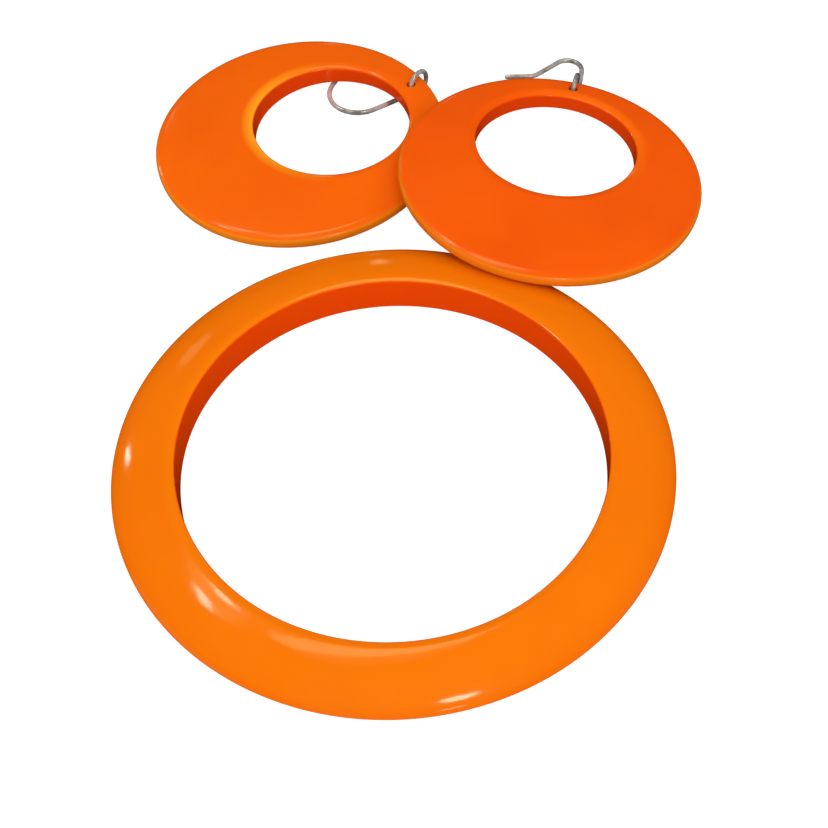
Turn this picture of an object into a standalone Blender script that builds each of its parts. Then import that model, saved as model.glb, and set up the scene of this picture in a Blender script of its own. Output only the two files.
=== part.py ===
"""Orange costume jewellery set, laid out on a flat surface: one bangle and a pair of pierced earrings.

The bangle is a closed moulded ring with a wedge-shaped section. Each earring is a domed plastic disc with
a large off-centre opening, and a small drilled hole that a bent metal ear wire passes through. The left
disc lies flat on its own wire. The right disc leans across the left one and the bangle.

Metres, +Z up. The origin is on the surface, under the middle of the whole set.
"""

from math import asin, ceil, cos, pi, radians, sin

import bmesh
import bpy
from mathutils import Matrix, Vector

MM = 0.001

# Bangle.
BANGLE_PLACE = (-6.68 * MM, -28.60 * MM)
BANGLE_INNER_RADIUS = 33.0 * MM
BANGLE_OUTER_RADIUS = 43.15 * MM
BANGLE_HEIGHT = 6.75 * MM
BANGLE_EDGE_ROUND = 0.45 * MM
BANGLE_LAND = 0.60 * MM
BANGLE_BULGE = 1.4
BANGLE_SEGMENTS = 96
BANGLE_FACE_STEPS = 7

# Disc of an earring. It is flat at the back and domed at the front.
DISC_RADIUS = 26.9 * MM
DISC_RIM = 2.4 * MM
DISC_CROWN = 4.9 * MM
OPENING_RADIUS = 14.45 * MM
OPENING_OFFSET = 6.3 * MM
OPENING_FRONT_ROUND = 0.8 * MM
OPENING_BACK_ROUND = 0.4 * MM
DISC_SEGMENTS = 72
DOME_STEPS = 4
RIM_STEPS = 6

# Drilled hole, close to the rim, and the wire that passes through it.
DRILL_RADIUS = 1.05 * MM
DRILL_DISTANCE = 23.8 * MM
WIRE_RADIUS = 0.45 * MM
WIRE_STEP = 0.9 * MM
LOOP_RADIUS = 2.4 * MM
LOOP_STEP_ANGLE = 15
LOOP_FREE_END_ANGLE = 310
HOOK_HEIGHT = 0.47 * MM

# How each earring lies. Azimuths are counter-clockwise from +X, seen from above. The front of a disc leans
# towards its lean azimuth by its lean angle. The opening and the drilled hole each have their own azimuth.
# A hook is a flat route of (length, turn) runs, where a turn in degrees bends to the left.
LEFT = {
    "place": (-21.42 * MM, 44.86 * MM, 0.84 * MM),
    "lean_azimuth": 180.0,
    "lean": 1.8,
    "opening_azimuth": 18.7,
    "drill_azimuth": 27.5,
    "loop_azimuth": 50.0,
    "loop_side": -1,
    "leave_angle": 35,
    "hook_start": (-1.10 * MM, 57.21 * MM),
    "hook_heading": 208.0,
    "hook": [(7.5 * MM, 0), (14.6 * MM, -146), (3.2 * MM, 0)],
}
RIGHT = {
    "place": (22.95 * MM, 28.66 * MM, 3.87 * MM),
    "lean_azimuth": 31.2,
    "lean": 5.93,
    "opening_azimuth": 75.6,
    "drill_azimuth": 73.6,
    "loop_azimuth": 71.6,
    "loop_side": 1,
    "leave_angle": 95,
    "hook_start": (32.15 * MM, 58.60 * MM),
    "hook_heading": 76.0,
    "hook": [(3.2 * MM, 4), (6.6 * MM, 136), (5.0 * MM, 0), (2.4 * MM, -39), (4.0 * MM, 0)],
}

BANGLE_ORANGE = (0.93, 0.185, 0.003)
DISC_ORANGE = (0.88, 0.092, 0.002)
WIRE_METAL = (0.62, 0.60, 0.57)


def clear_scene():
    for obj in list(bpy.data.objects):
        bpy.data.objects.remove(obj, do_unlink=True)


def make_material(name, colour, roughness, metallic=0.0):
    material = bpy.data.materials.new(name)
    material.use_nodes = True
    shader = material.node_tree.nodes["Principled BSDF"]
    shader.inputs["Base Color"].default_value = (*colour, 1.0)
    shader.inputs["Roughness"].default_value = roughness
    shader.inputs["Metallic"].default_value = metallic
    return material


def link(name, data, material):
    obj = bpy.data.objects.new(name, data)
    bpy.context.scene.collection.objects.link(obj)
    data.materials.append(material)
    return obj


def arc(centre, radius, start, end, steps):
    """Points of an arc in the plane of a section, from the start to the end angle in degrees."""
    angles = [radians(start + (end - start) * k / steps) for k in range(steps + 1)]
    return [(centre[0] + radius * cos(a), centre[1] + radius * sin(a)) for a in angles]


def ring_object(name, sections, material):
    """A closed ring through equal closed sections, each a list of points in order around its outline."""
    mesh = bpy.data.meshes.new(name)
    grid = bmesh.new()
    rings = [[grid.verts.new(point) for point in section] for section in sections]
    for k, ring in enumerate(rings):
        following = rings[(k + 1) % len(rings)]
        for i in range(len(ring)):
            j = (i + 1) % len(ring)
            grid.faces.new((ring[i], ring[j], following[j], following[i]))
    bmesh.ops.recalc_face_normals(grid, faces=grid.faces)
    grid.to_mesh(mesh)
    grid.free()
    mesh.shade_smooth()
    mesh.set_sharp_from_angle(angle=radians(35))
    return link(name, mesh, material)


def bangle_profile():
    """Half-section as (radius, height): straight inner wall, narrow flat lands and two bulged sloping faces."""
    middle = BANGLE_HEIGHT / 2
    r = BANGLE_EDGE_ROUND
    top = arc((BANGLE_INNER_RADIUS + r, BANGLE_HEIGHT - r), r, 180, 90, 3)
    slope_start = BANGLE_INNER_RADIUS + r + BANGLE_LAND
    slope_width = BANGLE_OUTER_RADIUS - slope_start
    slope = []
    for k in range(BANGLE_FACE_STEPS):
        t = pi / 2 * k / BANGLE_FACE_STEPS
        out = sin(t) ** (2 / BANGLE_BULGE)
        up = cos(t) ** (2 / BANGLE_BULGE)
        slope.append((slope_start + slope_width * out, middle + middle * up))
    upper = top + slope
    lower = [(radius, BANGLE_HEIGHT - height) for radius, height in reversed(upper)]
    return upper + [(BANGLE_OUTER_RADIUS, middle)] + lower


def make_bangle(material):
    profile = bangle_profile()
    sections = []
    for k in range(BANGLE_SEGMENTS):
        turn = 2 * pi * k / BANGLE_SEGMENTS
        sections.append([(radius * cos(turn), radius * sin(turn), height) for radius, height in profile])
    bangle = ring_object("bangle", sections, material)
    bangle.location = (*BANGLE_PLACE, 0.0)
    return bangle


def disc_thickness(radius):
    """Height of the domed front above the flat back, at a distance from the middle of the disc."""
    return DISC_RIM + (DISC_CROWN - DISC_RIM) * (1 - (radius / DISC_RADIUS) ** 2)


def disc_section(turn):
    """Outline between the opening and the rim at one angle around the disc, in the disc's own axes."""
    inner = Vector((OPENING_OFFSET + OPENING_RADIUS * cos(turn), OPENING_RADIUS * sin(turn)))
    outer = Vector((DISC_RADIUS * cos(turn), DISC_RADIUS * sin(turn)))
    width = (outer - inner).length
    across = (outer - inner) / width
    half = DISC_RIM / 2
    back = OPENING_BACK_ROUND
    front = OPENING_FRONT_ROUND
    points = arc((back, back), back, 180, 270, 2)
    points += arc((width - half, half), half, -90, 78, RIM_STEPS)
    for k in range(1, DOME_STEPS + 1):
        distance = (width - half) + (front - width + half) * k / DOME_STEPS
        points.append((distance, disc_thickness((inner + across * distance).length)))
    top = points[-1][1]
    points += arc((front, top - front), front, 90, 180, 4)[1:]
    return [(*(inner + across * distance), height) for distance, height in points]


def lying_matrix(pose):
    """Placement of a disc: +Z out of its front, +X towards the middle of its opening."""
    towards = radians(pose["lean_azimuth"])
    lean = radians(pose["lean"])
    normal = Vector((sin(lean) * cos(towards), sin(lean) * sin(towards), cos(lean)))
    spin = radians(pose["opening_azimuth"])
    along = Vector((cos(spin), sin(spin), 0.0))
    along = (along - normal * along.dot(normal)).normalized()
    axes = Matrix((along, normal.cross(along), normal)).transposed()
    return Matrix.Translation(pose["place"]) @ axes.to_4x4()


def drill_point(pose):
    """Middle of the drilled hole's mouth at the back of the disc, in the disc's own axes."""
    turn = radians(pose["drill_azimuth"] - pose["opening_azimuth"])
    return Vector((DRILL_DISTANCE * cos(turn), DRILL_DISTANCE * sin(turn), 0.0))


def make_disc(name, pose, material):
    sections = [disc_section(2 * pi * k / DISC_SEGMENTS) for k in range(DISC_SEGMENTS)]
    disc = ring_object(name, sections, material)
    disc.matrix_world = lying_matrix(pose)
    drill_mesh = bpy.data.meshes.new(name + "_drill")
    drill = bmesh.new()
    bmesh.ops.create_cone(
        drill, cap_ends=True, segments=24, radius1=DRILL_RADIUS, radius2=DRILL_RADIUS, depth=4 * DISC_RIM
    )
    drill.to_mesh(drill_mesh)
    drill.free()
    cutter = link(name + "_drill", drill_mesh, material)
    cutter.matrix_world = lying_matrix(pose) @ Matrix.Translation(drill_point(pose))
    cutter.hide_render = True
    cutter.display_type = "WIRE"
    cut = disc.modifiers.new("drilled_hole", "BOOLEAN")
    cut.object = cutter
    cut.operation = "DIFFERENCE"
    cut.solver = "EXACT"
    return disc


def loop_frame(pose):
    """Middle of the wire's loop, and its two directions: outward along the back, and out of the front."""
    disc = lying_matrix(pose)
    turn = radians(pose["loop_azimuth"] - pose["opening_azimuth"])
    outward = Vector((cos(turn), sin(turn), 0.0))
    half = disc_thickness(DRILL_DISTANCE) / 2
    reach = (LOOP_RADIUS + LOOP_RADIUS * cos(asin(half / LOOP_RADIUS))) / 2
    centre = disc @ (drill_point(pose) + outward * reach + Vector((0.0, 0.0, half)))
    return centre, disc.to_3x3() @ outward, disc.to_3x3() @ Vector((0.0, 0.0, 1.0))


def smooth_join(start, start_way, end, end_way, pull, steps):
    """Points of a cubic Bezier curve between two ends, without the ends themselves."""
    a = start + start_way * pull
    b = end - end_way * pull
    found = []
    for k in range(1, steps):
        t = k / steps
        s = 1 - t
        found.append(start * s**3 + a * (3 * s * s * t) + b * (3 * s * t * t) + end * t**3)
    return found


def flat_route(start, heading, runs):
    """Points along straight and round runs in a level plane. Each round run turns at an even rate."""
    points = [Vector(start)]
    way = radians(heading)
    for length, turn in runs:
        steps = max(1, ceil(length / WIRE_STEP - 0.01))
        part = length / steps
        bend = radians(turn) / steps
        for _ in range(steps):
            way += bend / 2
            points.append(points[-1] + Vector((cos(way), sin(way), 0.0)) * part)
            way += bend / 2
    return points


def wire_route(pose):
    """Middle line of an ear wire: an open loop through the drilled hole, a short join, and the hook."""
    centre, outward, up = loop_frame(pose)
    side = pose["loop_side"]
    last = LOOP_FREE_END_ANGLE - 90 + pose["leave_angle"]
    steps = round(last / LOOP_STEP_ANGLE)
    loop = []
    for k in range(steps + 1):
        angle = radians(-90 + LOOP_FREE_END_ANGLE - last * k / steps)
        loop.append(centre + (outward * -side * cos(angle) + up * sin(angle)) * LOOP_RADIUS)
    way = (loop[-1] - loop[-2]).normalized()
    start = Vector((*pose["hook_start"], HOOK_HEIGHT))
    hook = flat_route(start, pose["hook_heading"], pose["hook"])
    hook_way = (hook[1] - hook[0]).normalized()
    join = smooth_join(loop[-1], way, hook[0], hook_way, (hook[0] - loop[-1]).length / 3, 4)
    return centre, loop + join + hook


def make_ear_wire(name, pose, material):
    """The object's origin is the middle of its loop, which is on the axis that the wire swings about."""
    centre, route = wire_route(pose)
    curve = bpy.data.curves.new(name, "CURVE")
    curve.dimensions = "3D"
    curve.bevel_depth = WIRE_RADIUS
    curve.bevel_resolution = 2
    curve.use_fill_caps = True
    curve.render_resolution_u = 0
    spline = curve.splines.new("POLY")
    spline.points.add(len(route) - 1)
    for point, place in zip(spline.points, route):
        point.co = (*(place - centre), 1.0)
    wire = link(name, curve, material)
    wire.location = centre
    return wire


clear_scene()
bangle_plastic = make_material("bangle_plastic", BANGLE_ORANGE, 0.22)
disc_plastic = make_material("disc_plastic", DISC_ORANGE, 0.28)
wire_metal = make_material("wire_metal", WIRE_METAL, 0.25, 1.0)
make_bangle(bangle_plastic)
for side_name, side_pose in (("left", LEFT), ("right", RIGHT)):
    make_disc(side_name + "_disc", side_pose, disc_plastic)
    make_ear_wire(side_name + "_ear_wire", side_pose, wire_metal)
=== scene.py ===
"""Orange bangle and a pair of pierced disc earrings on a white surface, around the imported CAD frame.

Every CAD node is replaced by a finer piece of the same size in the same place. Metres, +Z up.
"""

from math import asin, ceil, cos, pi, radians, sin, tan

import bmesh
import bpy
from mathutils import Matrix, Vector


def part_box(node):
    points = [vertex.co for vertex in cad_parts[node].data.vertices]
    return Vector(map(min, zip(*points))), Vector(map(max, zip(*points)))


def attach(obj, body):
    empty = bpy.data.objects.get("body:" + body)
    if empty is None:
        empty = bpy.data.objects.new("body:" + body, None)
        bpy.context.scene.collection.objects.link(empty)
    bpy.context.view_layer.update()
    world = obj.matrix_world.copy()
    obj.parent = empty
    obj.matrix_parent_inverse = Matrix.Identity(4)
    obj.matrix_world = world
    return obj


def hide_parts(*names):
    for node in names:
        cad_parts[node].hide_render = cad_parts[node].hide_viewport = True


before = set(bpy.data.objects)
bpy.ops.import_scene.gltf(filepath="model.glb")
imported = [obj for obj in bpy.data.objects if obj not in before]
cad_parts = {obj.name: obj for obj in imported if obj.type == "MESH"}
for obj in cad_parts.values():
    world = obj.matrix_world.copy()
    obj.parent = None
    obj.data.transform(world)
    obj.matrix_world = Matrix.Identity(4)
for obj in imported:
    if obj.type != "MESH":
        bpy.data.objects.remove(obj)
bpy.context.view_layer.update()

MM = 0.001

# Bangle. A lip is a run of arcs from level to upright, each as (radius, slope in degrees where it ends).
BANGLE_INNER_RADIUS = 33.0 * MM
BANGLE_OUTER_RADIUS = 43.15 * MM
BANGLE_HEIGHT = 6.75 * MM
BANGLE_LIP = [(0.8 * MM, 10), (5.8 * MM, 17), (0.3 * MM, 90)]
BANGLE_BULGE = 1.4
BANGLE_SEGMENTS = 320
BANGLE_FACE_STEPS = 40
LIP_STEPS = 8

# Disc of an earring: flat back, domed front.
DISC_RADIUS = 26.9 * MM
DISC_RIM = 2.4 * MM
DISC_CROWN = 4.9 * MM
OPENING_RADIUS = 14.45 * MM
OPENING_OFFSET = 6.3 * MM
OPENING_LIP = [(3.0 * MM, 18), (6.0 * MM, 27), (0.4 * MM, 90)]
RIM_LIP = [(4.5 * MM, 17), (0.6 * MM, 90)]
OPENING_BACK_ROUND = 0.4 * MM
DISC_SEGMENTS = 288
BACK_ROUND_STEPS = 6
BACK_STEPS = 6
RIM_STEPS = 12
DOME_STEPS = 24
WALL_STEPS = 4
SHARP_ANGLE = 32

# Drilled hole and ear wire.
DRILL_RADIUS = 0.84 * MM
DRILL_CHAMFER = 0.12 * MM
DRILL_OVERRUN = 5 * DRILL_CHAMFER
DRILL_SIDES = 48
DRILL_DISTANCE = 23.8 * MM
WIRE_RADIUS = 0.45 * MM
WIRE_SIDES = 28
WIRE_STEP = 0.3 * MM
LOOP_RADIUS = 2.4 * MM
LOOP_STEP_ANGLE = 5
LOOP_FREE_END_ANGLE = 310
JOIN_STEPS = 12
HOOK_HEIGHT = 0.47 * MM
WIRE_END_LENGTH = 0.7 * WIRE_RADIUS
WIRE_END_ANGLES = (0, 20, 40, 60, 75, 88)

# How each earring lies. Azimuths are counter-clockwise from +X, seen from above. The front of a disc leans
# towards its lean azimuth by its lean angle. A hook is a flat route of (length, turn) runs, where a turn in
# degrees bends to the left.
LEFT = {
    "place": (-21.42 * MM, 44.86 * MM, 0.84 * MM),
    "lean_azimuth": 180.0,
    "lean": 1.8,
    "opening_azimuth": 18.7,
    "drill_azimuth": 27.5,
    "loop_azimuth": 50.0,
    "loop_side": -1,
    "leave_angle": 35,
    "hook_start": (-1.10 * MM, 57.21 * MM),
    "hook_heading": 208.0,
    "hook": [(7.5 * MM, 0), (14.6 * MM, -146), (3.2 * MM, 0)],
}
RIGHT = {
    "place": (22.95 * MM, 28.66 * MM, 3.87 * MM),
    "lean_azimuth": 31.2,
    "lean": 5.93,
    "opening_azimuth": 75.6,
    "drill_azimuth": 73.6,
    "loop_azimuth": 71.6,
    "loop_side": 1,
    "leave_angle": 95,
    "hook_start": (32.15 * MM, 58.60 * MM),
    "hook_heading": 76.0,
    "hook": [(3.2 * MM, 4), (6.6 * MM, 136), (5.0 * MM, 0), (2.4 * MM, -39), (4.0 * MM, 0)],
}

# Plastic near an opening. The wall has painted shade, a deeper red, which fades out just past the wall, and
# the lip has a painted glow towards one side, fully at this share of the opening's radius.
WALL_SHADE_FADE = 0.25 * MM
PAINTED_GLOW_WIDTH = 2.3 * MM
PAINTED_GLOW_REACH = 0.9

# Painted light and shade at the steep outer rim: a painted highlight on the discs, painted shade on the
# bangle.
# How level the rim is, from 0 (upright) to 1 (flat), and how far out from the opening it starts.
PAINTED_RIM_RANGE = (0.70, 0.95)
PAINTED_RIM_START = 4.2 * MM
PAINTED_RIM_FADE = 1.0 * MM

# Noise mostly lies in this range. Scales are in waves per metre, and bumps are (strength, distance).
NOISE_RANGE = (0.3, 0.7)
CLOUD_SCALE = 45
POLISH_SCALE = 160
POLISH_SPREAD = (0.85, 1.2)
RIPPLE_SCALE = 260
RIPPLE_BUMP = (0.06, 0.4 * MM)
GRAIN_SCALE = 2600
GRAIN_BUMP = (0.05, 0.03 * MM)
PLASTIC_SPECULAR = 0.36
PLASTIC_TINT = (1.0, 0.9, 0.7)
BANGLE_ROUGHNESS = 0.09
DISC_ROUGHNESS = 0.13

# Colours of each plastic: an uneven dark-to-light tone of its own, then painted light and shade: a painted
# highlight (discs) or painted shade (bangle) on the rim, painted shade on the opening's wall, and a painted
# glow on one side of the lip, with the way in which that glow lies.
BANGLE_COLOURS = {
    "dark": (0.88, 0.172, 0.001),
    "light": (0.92, 0.188, 0.0015),
    "rim": (0.83, 0.142, 0.001),
    "wall": (0.86, 0.068, 0.0006),
    "painted_glow": (0.92, 0.2, 0.002),
}
BANGLE_PAINTED_GLOW_WAY = (-1.0, 0.0, 0.0)
LEFT_COLOURS = {
    "dark": (0.87, 0.112, 0.001),
    "light": (0.93, 0.132, 0.0012),
    "rim": (0.86, 0.21, 0.005),
    "wall": (0.82, 0.056, 0.0006),
    "painted_glow": (1.0, 0.38, 0.013),
}
LEFT_PAINTED_GLOW_WAY = (-0.98, -0.1, 0.0)
RIGHT_COLOURS = {
    "dark": (0.86, 0.090, 0.001),
    "light": (0.92, 0.106, 0.0012),
    "rim": (0.82, 0.19, 0.005),
    "wall": (0.82, 0.058, 0.0006),
    "painted_glow": (0.96, 0.15, 0.002),
}
RIGHT_PAINTED_GLOW_WAY = (0.92, 0.38, 0.0)

# Wire.
TARNISH_SCALE = 230
TARNISH_STOPS = [(0.38, (0.26, 0.24, 0.22)), (0.5, (0.66, 0.63, 0.6)), (0.6, (0.98, 0.95, 0.9))]
WIRE_ROUGHNESS = (0.32, 0.14)
SCRATCH_SCALE = 3800
SCRATCH_BUMP = (0.12, 0.03 * MM)
WIRE_METALLIC = 0.62

# Floor: the seen sheet, and a duller one under it.
FLOOR_SIZE = 6.0
FLOOR_HEIGHT = -0.2 * MM
FLOOR_COLOUR = (0.3, 0.3, 0.3)
FLOOR_GLOW = 0.92
BOUNCE_HEIGHT = -0.4 * MM
BOUNCE_COLOUR = (0.6, 0.59, 0.58)

# Light.
LIGHT_DISTANCE = 12.0
SKY_STRENGTH = 0.76
WHITE = (1.0, 1.0, 1.0)
WARM = (1.0, 0.9, 0.5)

# A light is a name, azimuth, elevation, width and height in degrees, brightness and colour. The key light
# lights the surfaces, and the others show only in the gloss.
KEY_LIGHT = ("key_softbox", -90, 50, 60, 60, 1.62, WHITE)
GLOSS_LIGHTS = [
    ("overhead_box", 114, 77.5, 26, 10, 4.0, WARM),
    ("overhead_haze", 118, 79, 26, 18, 0.7, WARM),
    ("left_haze", 148, 62, 17, 10, 1.9, WARM),
    ("lamp_left_one", 158, 59.2, 6, 3, 17.0, WHITE),
    ("lamp_left_two", 136, 64, 6, 3, 16.0, WHITE),
    ("window_low", 141, 22.4, 2.4, 7, 19.0, WHITE),
    ("far_left_lamp", 118, 24, 6, 9, 1.3, WARM),
    ("front_strip", -69, 57, 8, 6, 22.0, WHITE),
    ("front_strip_low", -75, 39, 6, 4, 8.0, WHITE),
    ("far_lamp", 91.6, 13.5, 1.6, 8, 3.0, WARM),
    ("room_front", -90, 15, 55, 24, 0.35, WHITE),
    ("room_left", 200, 15, 55, 24, 0.35, WHITE),
    ("room_right", -20, 15, 55, 24, 0.25, WHITE),
]

# Camera.
CAMERA_PLACE = (-3.051 * MM, -149.366 * MM, 178.884 * MM)
CAMERA_TILT = 36.25
CAMERA_ROLL = -2.943
CAMERA_LENS = 60.3
CAMERA_SENSOR = 36.0
CAMERA_NEAR = 0.01
CAMERA_FAR = 20.0


def arc(centre, radius, start, end, steps):
    """Points of an arc in the plane of a section, from the start to the end angle in degrees."""
    angles = [radians(start + (end - start) * k / steps) for k in range(steps + 1)]
    return [(centre[0] + radius * cos(a), centre[1] + radius * sin(a)) for a in angles]


def lip(arcs):
    """A lip from upright round to level, as (distance in from the upright wall, drop below the top)."""
    points = [(0.0, 0.0)]
    slope = 0.0
    for radius, end in arcs:
        for k in range(1, LIP_STEPS + 1):
            before = radians(slope + (end - slope) * (k - 1) / LIP_STEPS)
            after = radians(slope + (end - slope) * k / LIP_STEPS)
            across, drop = points[-1]
            across += radius * (sin(after) - sin(before))
            drop += radius * (cos(before) - cos(after))
            points.append((across, drop))
        slope = end
    width = points[-1][0]
    return [(width - across, drop) for across, drop in reversed(points)]


def link(name, mesh):
    obj = bpy.data.objects.new(name, mesh)
    bpy.context.scene.collection.objects.link(obj)
    return obj


def bridge(grid, ring, following):
    """Faces between two rings of as many vertices each."""
    for i in range(len(ring)):
        j = (i + 1) % len(ring)
        grid.faces.new((ring[i], ring[j], following[j], following[i]))


def finished_mesh(name, grid):
    mesh = bpy.data.meshes.new(name)
    bmesh.ops.recalc_face_normals(grid, faces=grid.faces)
    grid.to_mesh(mesh)
    grid.free()
    return mesh


def ring_mesh(name, sections):
    """A closed ring through equal closed sections, each a list of points in order around its outline."""
    grid = bmesh.new()
    rings = [[grid.verts.new(point) for point in section] for section in sections]
    for k, ring in enumerate(rings):
        bridge(grid, ring, rings[(k + 1) % len(rings)])
    mesh = finished_mesh(name, grid)
    mesh.shade_smooth()
    return mesh


def capped_mesh(name, sections):
    """A solid through round sections along a line, closed by a face at each end."""
    grid = bmesh.new()
    rings = [[grid.verts.new(point) for point in section] for section in sections]
    for ring, following in zip(rings, rings[1:]):
        bridge(grid, ring, following)
    grid.faces.new(rings[0][::-1])
    grid.faces.new(rings[-1])
    return finished_mesh(name, grid)


def bangle_profile():
    """Half-section as (radius, height): a straight inner wall, soft inner lips and two bulged slopes."""
    middle = BANGLE_HEIGHT / 2
    upper = [(BANGLE_INNER_RADIUS + across, BANGLE_HEIGHT - drop) for across, drop in lip(BANGLE_LIP)]
    slope_start = upper[-1][0]
    slope_width = BANGLE_OUTER_RADIUS - slope_start
    for k in range(1, BANGLE_FACE_STEPS):
        t = pi / 2 * k / BANGLE_FACE_STEPS
        out = sin(t) ** (2 / BANGLE_BULGE)
        up = cos(t) ** (2 / BANGLE_BULGE)
        upper.append((slope_start + slope_width * out, middle + middle * up))
    lower = [(radius, BANGLE_HEIGHT - height) for radius, height in reversed(upper)]
    return upper + [(BANGLE_OUTER_RADIUS, middle)] + lower


def bangle_middle():
    """The point on the surface under the middle of the bangle."""
    low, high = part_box("bangle")
    return ((low.x + high.x) / 2, (low.y + high.y) / 2, 0.0)


def make_bangle():
    profile = bangle_profile()
    sections = []
    for k in range(BANGLE_SEGMENTS):
        turn = 2 * pi * k / BANGLE_SEGMENTS
        sections.append([(radius * cos(turn), radius * sin(turn), height) for radius, height in profile])
    mesh = ring_mesh("bangle_ring", sections)
    mesh.transform(Matrix.Translation(bangle_middle()))
    return link("bangle_ring", mesh)


def bangle_opening():
    """The bangle's inner wall, as a point on its axis, the way of the axis, and its radius."""
    return bangle_middle(), (0.0, 0.0, 1.0), BANGLE_INNER_RADIUS


def disc_thickness(radius):
    """Height of the domed front above the flat back, at a distance from the middle of the disc."""
    return DISC_RIM + (DISC_CROWN - DISC_RIM) * (1 - (radius / DISC_RADIUS) ** 2)


def disc_section(turn):
    """Outline between the opening and the rim at one angle around the disc, in the disc's own axes."""
    inner = Vector((OPENING_OFFSET + OPENING_RADIUS * cos(turn), OPENING_RADIUS * sin(turn)))
    outer = Vector((DISC_RADIUS * cos(turn), DISC_RADIUS * sin(turn)))
    width = (outer - inner).length
    across = (outer - inner) / width
    half = DISC_RIM / 2
    back = OPENING_BACK_ROUND
    points = arc((back, back), back, 180, 270, BACK_ROUND_STEPS)
    for k in range(1, BACK_STEPS):
        points.append((back + (width - half - back) * k / BACK_STEPS, 0.0))
    points += arc((width - half, half), half, -90, 0, RIM_STEPS)
    rim = lip(RIM_LIP)
    opening = lip(OPENING_LIP)
    start = width - rim[-1][0]
    end = opening[-1][0]
    front = [(width - reach, drop) for reach, drop in rim[1:]]
    front += [(start + (end - start) * k / DOME_STEPS, 0.0) for k in range(1, DOME_STEPS + 1)]
    front += opening[-2::-1]
    for distance, drop in front:
        points.append((distance, disc_thickness((inner + across * distance).length) - drop))
    height = points[-1][1]
    points += [(0.0, height + (back - height) * k / WALL_STEPS) for k in range(1, WALL_STEPS)]
    return [(*(inner + across * distance), height) for distance, height in points]


def lying_matrix(pose):
    """Placement of a disc: +Z out of its front, +X towards the middle of its opening."""
    towards = radians(pose["lean_azimuth"])
    lean = radians(pose["lean"])
    normal = Vector((sin(lean) * cos(towards), sin(lean) * sin(towards), cos(lean)))
    spin = radians(pose["opening_azimuth"])
    along = Vector((cos(spin), sin(spin), 0.0))
    along = (along - normal * along.dot(normal)).normalized()
    axes = Matrix((along, normal.cross(along), normal)).transposed()
    return Matrix.Translation(pose["place"]) @ axes.to_4x4()


def disc_opening(pose):
    """The disc's opening as it lies, as a point on its axis, the way of the axis, and its radius."""
    disc = lying_matrix(pose)
    middle = disc @ Vector((OPENING_OFFSET, 0.0, 0.0))
    axis = disc.to_3x3() @ Vector((0.0, 0.0, 1.0))
    return middle, axis, OPENING_RADIUS


def drill_point(pose):
    """Middle of the drilled hole's mouth at the back of the disc, in the disc's own axes."""
    turn = radians(pose["drill_azimuth"] - pose["opening_azimuth"])
    return Vector((DRILL_DISTANCE * cos(turn), DRILL_DISTANCE * sin(turn), 0.0))


def drill_cutter(pose):
    """A turned cutter with a small chamfer at each mouth of the hole."""
    top = disc_thickness(DRILL_DISTANCE)
    wide = DRILL_RADIUS + DRILL_CHAMFER + DRILL_OVERRUN
    profile = [
        (wide, -DRILL_OVERRUN),
        (DRILL_RADIUS, DRILL_CHAMFER),
        (DRILL_RADIUS, top - DRILL_CHAMFER),
        (wide, top + DRILL_OVERRUN),
    ]
    turns = [2 * pi * k / DRILL_SIDES for k in range(DRILL_SIDES)]
    sections = [[(radius * cos(t), radius * sin(t), height) for t in turns] for radius, height in profile]
    cutter = link("drill", capped_mesh("drill", sections))
    cutter.matrix_world = lying_matrix(pose) @ Matrix.Translation(drill_point(pose))
    cutter.hide_render = True
    return cutter


def make_disc(name, pose):
    """A moulded disc as it lies, with its hole cut through it."""
    sections = [disc_section(2 * pi * k / DISC_SEGMENTS) for k in range(DISC_SEGMENTS)]
    mesh = ring_mesh(name, sections)
    mesh.transform(lying_matrix(pose))
    disc = link(name, mesh)
    cutter = drill_cutter(pose)
    bpy.context.view_layer.update()
    cut = disc.modifiers.new("drilled_hole", "BOOLEAN")
    cut.object = cutter
    cut.operation = "DIFFERENCE"
    cut.solver = "EXACT"
    graph = bpy.context.evaluated_depsgraph_get()
    cut_mesh = bpy.data.meshes.new_from_object(disc.evaluated_get(graph))
    disc.modifiers.clear()
    disc.data = cut_mesh
    cut_mesh.shade_smooth()
    cut_mesh.set_sharp_from_angle(angle=radians(SHARP_ANGLE))
    bpy.data.objects.remove(cutter)
    return disc


def loop_frame(pose):
    """Middle of the wire's loop, and its two ways: outward along the back, and out of the front."""
    disc = lying_matrix(pose)
    turn = radians(pose["loop_azimuth"] - pose["opening_azimuth"])
    outward = Vector((cos(turn), sin(turn), 0.0))
    half = disc_thickness(DRILL_DISTANCE) / 2
    reach = (LOOP_RADIUS + LOOP_RADIUS * cos(asin(half / LOOP_RADIUS))) / 2
    centre = disc @ (drill_point(pose) + outward * reach + Vector((0.0, 0.0, half)))
    return centre, disc.to_3x3() @ outward, disc.to_3x3() @ Vector((0.0, 0.0, 1.0))


def smooth_join(start, start_way, end, end_way, pull, steps):
    """Points of a cubic Bezier curve between two ends, without the ends themselves."""
    a = start + start_way * pull
    b = end - end_way * pull
    found = []
    for k in range(1, steps):
        t = k / steps
        s = 1 - t
        found.append(start * s**3 + a * (3 * s * s * t) + b * (3 * s * t * t) + end * t**3)
    return found


def flat_route(start, heading, runs):
    """Points along straight and round runs in a level plane. Each round run turns at an even rate."""
    points = [Vector(start)]
    way = radians(heading)
    rounding = 0.01
    for length, turn in runs:
        steps = max(1, ceil(length / WIRE_STEP - rounding))
        part = length / steps
        bend = radians(turn) / steps
        for _ in range(steps):
            way += bend / 2
            points.append(points[-1] + Vector((cos(way), sin(way), 0.0)) * part)
            way += bend / 2
    return points


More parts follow.
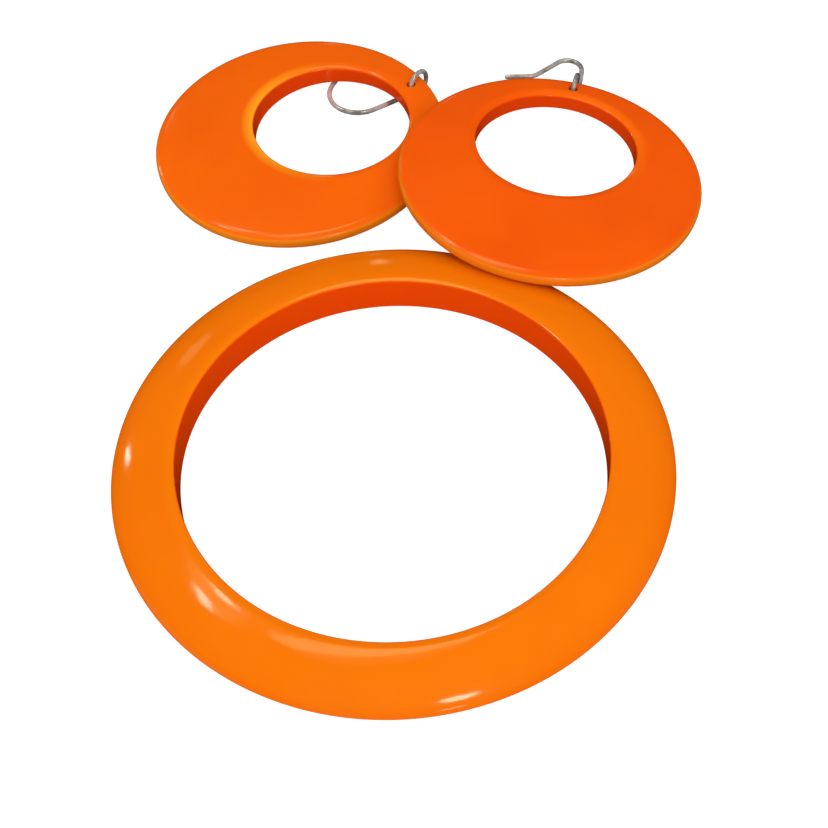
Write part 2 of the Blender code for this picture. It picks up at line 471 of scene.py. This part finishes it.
def wire_route(pose):
    """Middle line of an ear wire: an open loop through the drilled hole, a short join, and the hook."""
    centre, outward, up = loop_frame(pose)
    side = pose["loop_side"]
    last = LOOP_FREE_END_ANGLE - 90 + pose["leave_angle"]
    steps = round(last / LOOP_STEP_ANGLE)
    loop = []
    for k in range(steps + 1):
        angle = radians(-90 + LOOP_FREE_END_ANGLE - last * k / steps)
        loop.append(centre + (outward * -side * cos(angle) + up * sin(angle)) * LOOP_RADIUS)
    way = (loop[-1] - loop[-2]).normalized()
    start = Vector((*pose["hook_start"], HOOK_HEIGHT))
    hook = flat_route(start, pose["hook_heading"], pose["hook"])
    hook_way = (hook[1] - hook[0]).normalized()
    join = smooth_join(loop[-1], way, hook[0], hook_way, (hook[0] - loop[-1]).length / 3, JOIN_STEPS)
    return loop + join + hook


def make_wire(name, pose):
    """A round wire with softly rounded ends, swept along its route."""
    route = wire_route(pose)
    angles = [radians(a) for a in WIRE_END_ANGLES]
    first = (route[0] - route[1]).normalized()
    final = (route[-1] - route[-2]).normalized()
    head = [(route[0] + first * WIRE_END_LENGTH * sin(a), WIRE_RADIUS * cos(a)) for a in angles]
    tail = [(route[-1] + final * WIRE_END_LENGTH * sin(a), WIRE_RADIUS * cos(a)) for a in angles]
    path = head[::-1] + [(point, WIRE_RADIUS) for point in route[1:-1]] + tail
    turns = [2 * pi * i / WIRE_SIDES for i in range(WIRE_SIDES)]
    side = first.orthogonal().normalized()
    sections = []
    for k, (point, radius) in enumerate(path):
        before = path[max(k - 1, 0)][0]
        after = path[min(k + 1, len(path) - 1)][0]
        way = (after - before).normalized()
        side = (side - way * side.dot(way)).normalized()
        up = way.cross(side)
        sections.append([point + (side * cos(t) + up * sin(t)) * radius for t in turns])
    mesh = capped_mesh(name, sections)
    mesh.shade_smooth()
    return link(name, mesh)


class Nodes:
    """A short way to add and join a material's nodes."""

    def __init__(self, name):
        self.material = bpy.data.materials.new(name)
        self.material.use_nodes = True
        self.tree = self.material.node_tree
        self.shader = self.tree.nodes["Principled BSDF"]

    def add(self, kind, **settings):
        node = self.tree.nodes.new(kind)
        for key, value in settings.items():
            setattr(node, key, value)
        return node

    def join(self, start, end):
        self.tree.links.new(start, end)

    def noise(self, place, scale, detail, roughness):
        node = self.add("ShaderNodeTexNoise")
        self.join(place, node.inputs["Vector"])
        node.inputs["Scale"].default_value = scale
        node.inputs["Detail"].default_value = detail
        node.inputs["Roughness"].default_value = roughness
        return node.outputs["Fac"]

    def ramp(self, factor, stops):
        node = self.add("ShaderNodeValToRGB")
        self.join(factor, node.inputs["Fac"])
        elements = node.color_ramp.elements
        while len(elements) < len(stops):
            elements.new(0.5)
        for element, (at, colour) in zip(elements, stops):
            element.position = at
            element.color = (*colour, 1.0)
        return node.outputs["Color"]

    def span(self, factor, low, high, to_low, to_high):
        """Maps the range from low to high onto the range from to_low to to_high, and no further."""
        node = self.add("ShaderNodeMapRange")
        self.join(factor, node.inputs["Value"])
        node.inputs["From Min"].default_value = low
        node.inputs["From Max"].default_value = high
        node.inputs["To Min"].default_value = to_low
        node.inputs["To Max"].default_value = to_high
        return node.outputs["Result"]

    def vector(self, operation, first, second=None):
        node = self.add("ShaderNodeVectorMath", operation=operation)
        self.join(first, node.inputs[0])
        if second is not None:
            node.inputs[1].default_value = second
        return node.outputs["Value" if operation in ("LENGTH", "DOT_PRODUCT") else "Vector"]

    def times(self, one, other):
        node = self.add("ShaderNodeMath", operation="MULTIPLY")
        self.join(one, node.inputs[0])
        self.join(other, node.inputs[1])
        return node.outputs["Value"]

    def blend(self, factor, one, other):
        """Blends towards the other colour. A Mix node's colour sockets are inputs 6 and 7 and output 2."""
        node = self.add("ShaderNodeMix", data_type="RGBA")
        self.join(factor, node.inputs[0])
        self.join(one, node.inputs[6])
        node.inputs[7].default_value = (*other, 1.0)
        return node.outputs[2]

    def bump(self, height, strength, distance, normal=None):
        node = self.add("ShaderNodeBump")
        self.join(height, node.inputs["Height"])
        node.inputs["Strength"].default_value = strength
        node.inputs["Distance"].default_value = distance
        if normal is not None:
            self.join(normal, node.inputs["Normal"])
        return node.outputs["Normal"]


def plastic(name, opening, colours, painted_glow_way, roughness):
    """Moulded glossy plastic: faintly cloudy, rippled and uneven in polish, with painted shade on the wall
    and a painted highlight or painted shade on the steep outer rim.

    The opening is (a point on its axis, the way of the axis, radius). Its lip has a painted glow towards one
    side.
    """
    middle, axis, radius = opening
    nodes = Nodes(name)
    coordinates = nodes.add("ShaderNodeTexCoord")
    place = coordinates.outputs["Object"]
    cloud = nodes.noise(place, CLOUD_SCALE, 3.0, 0.55)
    colour = nodes.ramp(cloud, list(zip(NOISE_RANGE, (colours["dark"], colours["light"]))))
    offset = nodes.vector("SUBTRACT", place, middle)
    reach = nodes.vector("LENGTH", nodes.vector("CROSS_PRODUCT", offset, axis))
    level = nodes.vector("DOT_PRODUCT", coordinates.outputs["Normal"], axis)
    # Painted light and shade on the steep outer rim: lighter on the discs, darker on the bangle.
    steep = nodes.span(level, *PAINTED_RIM_RANGE, 1.0, 0.0)
    far = nodes.span(reach, radius + PAINTED_RIM_START, radius + PAINTED_RIM_START + PAINTED_RIM_FADE, 0.0, 1.0)
    colour = nodes.blend(nodes.times(steep, far), colour, colours["rim"])
    # Painted glow: a lighter band of painted light on one side of the lip.
    near = nodes.span(reach, radius + WALL_SHADE_FADE, radius + PAINTED_GLOW_WIDTH, 1.0, 0.0)
    towards = nodes.vector("DOT_PRODUCT", offset, painted_glow_way)
    sided = nodes.span(towards, 0.0, PAINTED_GLOW_REACH * radius, 0.0, 1.0)
    colour = nodes.blend(nodes.times(near, sided), colour, colours["painted_glow"])
    # Painted shade: a deeper red on the opening's wall.
    wall = nodes.span(reach, radius, radius + WALL_SHADE_FADE, 1.0, 0.0)
    nodes.join(nodes.blend(wall, colour, colours["wall"]), nodes.shader.inputs["Base Color"])
    polish = nodes.noise(place, POLISH_SCALE, 4.0, 0.6)
    spread = [roughness * share for share in POLISH_SPREAD]
    nodes.join(nodes.span(polish, *NOISE_RANGE, *spread), nodes.shader.inputs["Roughness"])
    ripple = nodes.noise(place, RIPPLE_SCALE, 2.0, 0.5)
    grain = nodes.noise(place, GRAIN_SCALE, 2.0, 0.5)
    normal = nodes.bump(ripple, *RIPPLE_BUMP)
    normal = nodes.bump(grain, *GRAIN_BUMP, normal)
    nodes.join(normal, nodes.shader.inputs["Normal"])
    nodes.shader.inputs["Specular IOR Level"].default_value = PLASTIC_SPECULAR
    nodes.shader.inputs["Specular Tint"].default_value = (*PLASTIC_TINT, 1.0)
    return nodes.material


def drawn_wire():
    """Drawn wire: a grey metal with fine scratches, duller in some stretches than in others."""
    nodes = Nodes("drawn_silver_wire")
    place = nodes.add("ShaderNodeTexCoord").outputs["Object"]
    tarnish = nodes.noise(place, TARNISH_SCALE, 3.0, 0.6)
    nodes.join(nodes.ramp(tarnish, TARNISH_STOPS), nodes.shader.inputs["Base Color"])
    nodes.join(nodes.span(tarnish, *NOISE_RANGE, *WIRE_ROUGHNESS), nodes.shader.inputs["Roughness"])
    scratches = nodes.noise(place, SCRATCH_SCALE, 3.0, 0.6)
    nodes.join(nodes.bump(scratches, *SCRATCH_BUMP), nodes.shader.inputs["Normal"])
    nodes.shader.inputs["Metallic"].default_value = WIRE_METALLIC
    return nodes.material


def matt_sheet(name, height, material_name, colour):
    """A level square sheet in one matt colour, and its material's nodes."""
    mesh = bpy.data.meshes.new(name)
    half = FLOOR_SIZE / 2
    corners = [(x * half, y * half, height) for x, y in ((-1, -1), (1, -1), (1, 1), (-1, 1))]
    mesh.from_pydata(corners, [], [(0, 1, 2, 3)])
    nodes = Nodes(material_name)
    nodes.shader.inputs["Base Color"].default_value = (*colour, 1.0)
    nodes.shader.inputs["Roughness"].default_value = 1.0
    nodes.shader.inputs["Specular IOR Level"].default_value = 0.0
    mesh.materials.append(nodes.material)
    return link(name, mesh), nodes


def make_floor():
    """A plain white floor. The seen sheet takes nearly no shadow, and the one under it gives the bounce."""
    seen, nodes = matt_sheet("floor", FLOOR_HEIGHT, "floor_white", FLOOR_COLOUR)
    nodes.shader.inputs["Emission Color"].default_value = (*WHITE, 1.0)
    nodes.shader.inputs["Emission Strength"].default_value = FLOOR_GLOW
    seen.visible_diffuse = False
    seen.visible_glossy = False
    seen.visible_transmission = False
    seen.visible_shadow = False
    bounce, _ = matt_sheet("floor_bounce", BOUNCE_HEIGHT, "floor_bounce_grey", BOUNCE_COLOUR)
    bounce.visible_camera = False
    bounce.visible_glossy = False


def area_light(name, azimuth, elevation, width, height, radiance, colour, gloss):
    """A far oval light, sized in degrees. It shows only in the gloss, or else only lights the surfaces."""
    across = 2 * LIGHT_DISTANCE * tan(radians(width / 2))
    tall = 2 * LIGHT_DISTANCE * tan(radians(height / 2))
    data = bpy.data.lights.new(name, "AREA")
    data.shape = "ELLIPSE"
    data.size = across
    data.size_y = tall
    data.energy = radiance * pi * (pi * across * tall / 4)
    data.color = colour
    light = bpy.data.objects.new(name, data)
    bpy.context.scene.collection.objects.link(light)
    turn, rise = radians(azimuth), radians(elevation)
    back = Vector((cos(turn) * cos(rise), sin(turn) * cos(rise), sin(rise)))
    light.location = back * LIGHT_DISTANCE
    light.rotation_mode = "QUATERNION"
    light.rotation_quaternion = (-back).to_track_quat("-Z", "Y")
    light.visible_camera = False
    light.visible_glossy = gloss
    light.visible_diffuse = not gloss


def make_light():
    """An even white sky that the gloss doesn't see, the key light, and the lights in the gloss."""
    world = bpy.data.worlds.new("studio")
    bpy.context.scene.world = world
    world.use_nodes = True
    world.cycles_visibility.glossy = False
    sky = world.node_tree.nodes["Background"]
    sky.inputs["Color"].default_value = (*WHITE, 1.0)
    sky.inputs["Strength"].default_value = SKY_STRENGTH
    area_light(*KEY_LIGHT, False)
    for light in GLOSS_LIGHTS:
        area_light(*light, True)


def make_camera():
    data = bpy.data.cameras.new("camera")
    data.lens = CAMERA_LENS
    data.sensor_width = CAMERA_SENSOR
    data.clip_start = CAMERA_NEAR
    data.clip_end = CAMERA_FAR
    camera = bpy.data.objects.new("camera", data)
    bpy.context.scene.collection.objects.link(camera)
    tilt = Matrix.Rotation(radians(CAMERA_TILT), 4, "X")
    roll = Matrix.Rotation(radians(CAMERA_ROLL), 4, "Z")
    camera.matrix_world = Matrix.Translation(CAMERA_PLACE) @ tilt @ roll
    bpy.context.scene.camera = camera


def place_piece(piece, material, node):
    """Gives a piece its material, and puts it in the place of the CAD node, on the body of the same name."""
    piece.data.materials.clear()
    piece.data.materials.append(material)
    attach(piece, node)
    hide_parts(node)


make_camera()
bangle_plastic = plastic(
    "bangle_plastic",
    bangle_opening(),
    BANGLE_COLOURS,
    BANGLE_PAINTED_GLOW_WAY,
    BANGLE_ROUGHNESS,
)
left_plastic = plastic(
    "left_disc_plastic",
    disc_opening(LEFT),
    LEFT_COLOURS,
    LEFT_PAINTED_GLOW_WAY,
    DISC_ROUGHNESS,
)
right_plastic = plastic(
    "right_disc_plastic",
    disc_opening(RIGHT),
    RIGHT_COLOURS,
    RIGHT_PAINTED_GLOW_WAY,
    DISC_ROUGHNESS,
)
wire_metal = drawn_wire()
place_piece(make_bangle(), bangle_plastic, "bangle")
place_piece(make_disc("left_earring_disc", LEFT), left_plastic, "left_disc")
place_piece(make_disc("right_earring_disc", RIGHT), right_plastic, "right_disc")
place_piece(make_wire("left_wire", LEFT), wire_metal, "left_ear_wire")
place_piece(make_wire("right_wire", RIGHT), wire_metal, "right_ear_wire")
make_floor()
make_light()
bpy.context.scene.view_settings.view_transform = "Standard"
